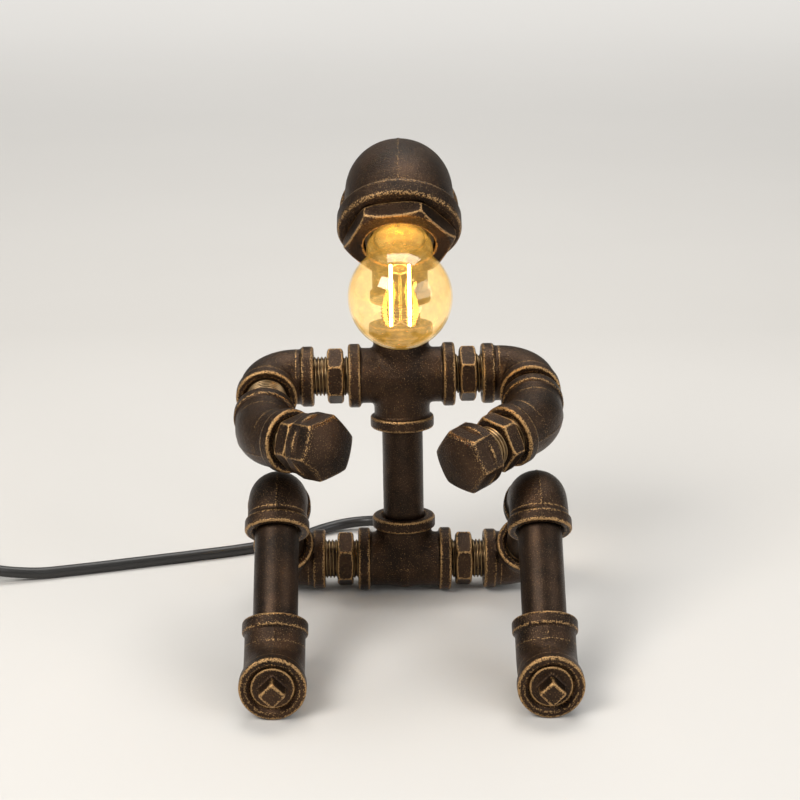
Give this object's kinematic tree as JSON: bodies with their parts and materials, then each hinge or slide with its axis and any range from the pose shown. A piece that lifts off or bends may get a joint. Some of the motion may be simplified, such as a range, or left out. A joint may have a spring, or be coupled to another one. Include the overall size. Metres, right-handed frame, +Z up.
{
  "type": "robot shaped desk lamp",
  "caption": "Desk lamp shaped like a sitting robot, screwed together from cast iron pipe fittings, with a round filament bulb in the hexagonal face and a corded rocker switch.",
  "frame": {"origin": "on the table, straight under the centre of the hip tee", "axes": "+Z up; -Y is the way the robot looks; +X is to the right of somebody who looks at its face"},
  "size_m": [0.5111, 0.2373, 0.2463],
  "materials": {
    "iron": "dark bronzed black, grainy, rubbed brown on the edges",
    "pipe": "dark bronzed black steel pipe, semi-gloss",
    "brass": "satin",
    "bulb_brass": "satin, rolled thread",
    "holder": "black insulating moulding",
    "bulb_glass": "clear blown glass",
    "bulb_stem": "clear glass stem",
    "filament": "lit filament",
    "cord": "satin black sheath",
    "wire": "sleeved wires",
    "rubber": "matt moulded rubber",
    "black_plastic": "fine texture",
    "rocker": "satin",
    "tie": "soft plastic strap",
    "pins": "nickel plated"
  },
  "bodies": {
    "frame": {"hip_tee": "iron", "hip_nipple_left": "pipe", "hip_nipple_right": "pipe", "hip_elbow_left": "iron", "hip_elbow_right": "iron", "thigh_nipple_left": "pipe", "thigh_nipple_right": "pipe", "knee_elbow_left": "iron", "knee_elbow_right": "iron", "shin_pipe_left": "pipe", "shin_pipe_right": "pipe", "foot_elbow_left": "iron", "foot_elbow_right": "iron", "foot_plug_left": "iron", "foot_plug_right": "iron", "spine_pipe": "pipe", "shoulder_cross": "iron", "shoulder_nipple_left": "pipe", "shoulder_nipple_right": "pipe", "neck_nipple": "pipe", "inner_lead": "wire", "cord_gland": "brass", "strain_relief": "rubber", "cord_lead": "cord", "cord_link": "cord", "cord_coil": "cord", "cord_tail": "cord", "cord_tie": "tie", "switch_base": "black_plastic", "switch_cover": "black_plastic", "plug_body": "rubber", "plug_pins": "pins"},
    "arm_left": {"upper_elbow_left": "iron", "arm_nipple_left": "pipe"},
    "arm_right": {"upper_elbow_right": "iron", "arm_nipple_right": "pipe"},
    "forearm_left": {"forearm_elbow_left": "iron", "wrist_nipple_left": "pipe", "fist_cap_left": "iron"},
    "forearm_right": {"forearm_elbow_right": "iron", "wrist_nipple_right": "pipe", "fist_cap_right": "iron"},
    "neck": {"neck_elbow": "iron", "head_nipple": "pipe"},
    "head": {"head_bushing": "iron", "head_elbow": "iron", "face_bushing": "iron", "lampholder": "holder", "socket_shell": "brass", "centre_contact": "brass", "head_lead": "wire"},
    "bulb": {"bulb_cap": "bulb_brass", "bulb_glass": "bulb_glass", "bulb_stem": "bulb_stem", "bulb_filaments": "filament"},
    "rocker": {"switch_rocker": "rocker"}
  },
  "joints": [
    {"name": "arm_left_lift", "type": "hinge", "parent": "frame", "child": "arm_left", "pos_m": [-0.07074, 0.00861, 0.1149], "axis": [-0.9998, -0.0015, -0.0174], "range_deg": [-2, 20]},
    {"name": "arm_right_lift", "type": "hinge", "parent": "frame", "child": "arm_right", "pos_m": [0.06324, 0.00881, 0.11723], "axis": [-0.9998, -0.0015, -0.0174], "range_deg": [-2, 20]},
    {"name": "forearm_left_turn", "type": "hinge", "parent": "arm_left", "child": "forearm_left", "pos_m": [-0.07046, -0.05195, 0.10418], "axis": [0.0045, -0.9847, -0.1743], "range_deg": [0, 100]},
    {"name": "forearm_right_turn", "type": "hinge", "parent": "arm_right", "child": "forearm_right", "pos_m": [0.06348, -0.04288, 0.10808], "axis": [-0.0045, 0.9847, 0.1743], "range_deg": [-15, 100]},
    {"name": "neck_turn", "type": "hinge", "parent": "frame", "child": "neck", "pos_m": [-0.0028, 0.01399, 0.17636], "axis": [-0.0175, 0.0871, 0.996], "range_deg": [-45, 45]},
    {"name": "head_turn", "type": "hinge", "parent": "neck", "child": "head", "pos_m": [-0.0028, 0.01399, 0.17636], "axis": [-0.0234, -0.6427, 0.7657], "range_deg": [-30, 30]},
    {"name": "bulb_screw", "type": "hinge", "parent": "head", "child": "bulb", "pos_m": [-0.00447, -0.03165, 0.23073], "axis": [-0.004, -0.7659, -0.643], "continuous": true},
    {"name": "switch_rock", "type": "hinge", "parent": "frame", "child": "rocker", "pos_m": [-0.257, 0.01, 0.011], "axis": [0, 1, 0], "range_deg": [0, 16]}
  ]
}
